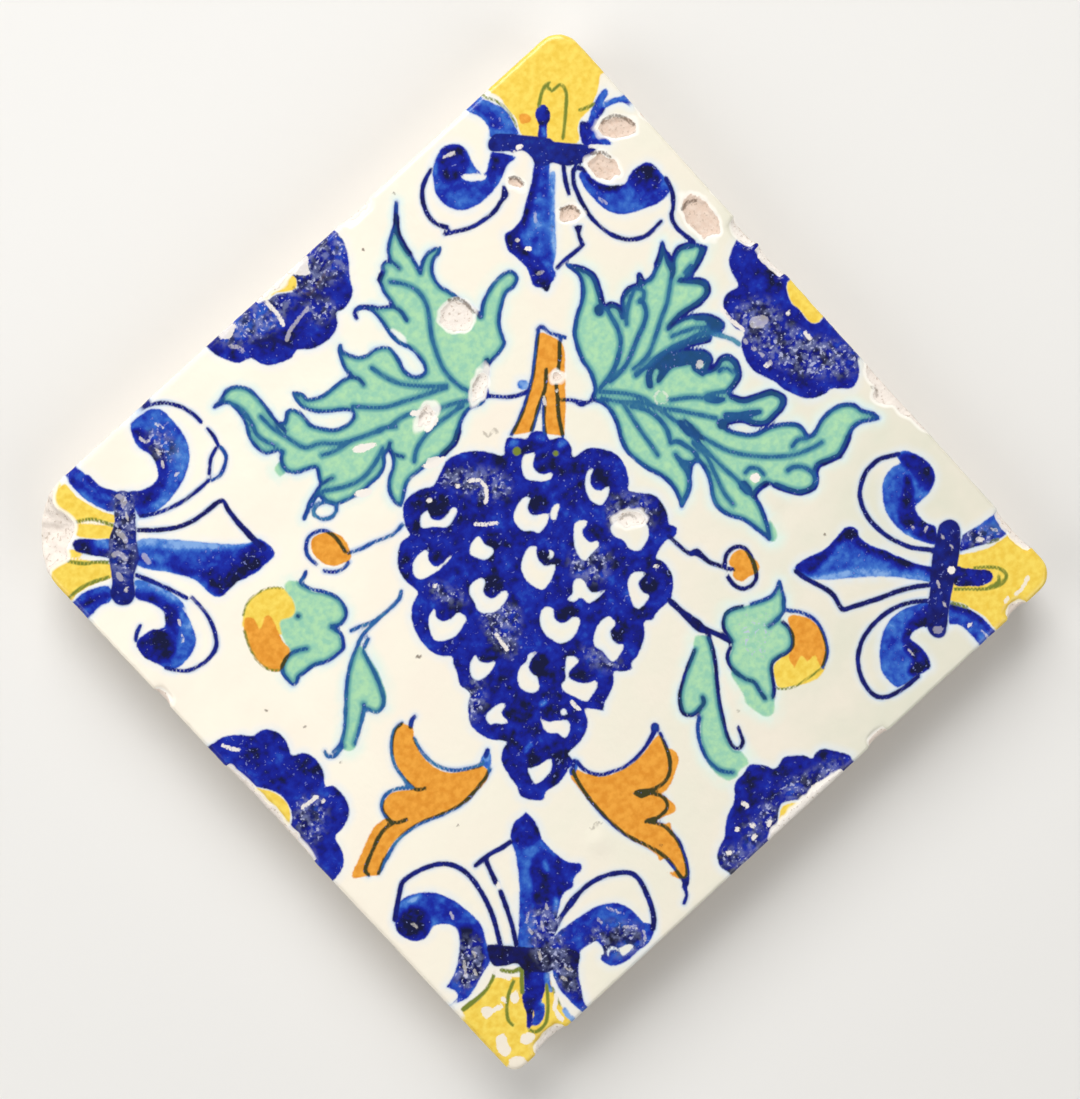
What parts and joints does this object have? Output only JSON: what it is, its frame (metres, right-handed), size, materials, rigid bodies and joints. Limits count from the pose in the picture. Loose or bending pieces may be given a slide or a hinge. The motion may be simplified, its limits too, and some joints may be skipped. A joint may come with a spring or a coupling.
{
  "type": "decorative tile",
  "caption": "Square tin-glazed earthenware wall tile, painted on the diagonal with a bunch of grapes and two vine leaves, with worn edges and one broken corner.",
  "frame": {"origin": "centre of the flat back, which is bedded in mortar on the wall", "axes": "+Z out of the painted face, away from the wall; +X and +Y along the tile's edges; the top of the painting is at the corner towards +X +Y"},
  "size_m": [0.1298, 0.1298, 0.014],
  "materials": {
    "tin_glazed_earthenware": "glossy cream-white tin glaze with blue, green, yellow and orange painting, over pinkish-buff fired clay that is bare on the sides, the back and the chips"
  },
  "bodies": {
    "root": {"tile": "tin_glazed_earthenware"}
  },
  "joints": []
}
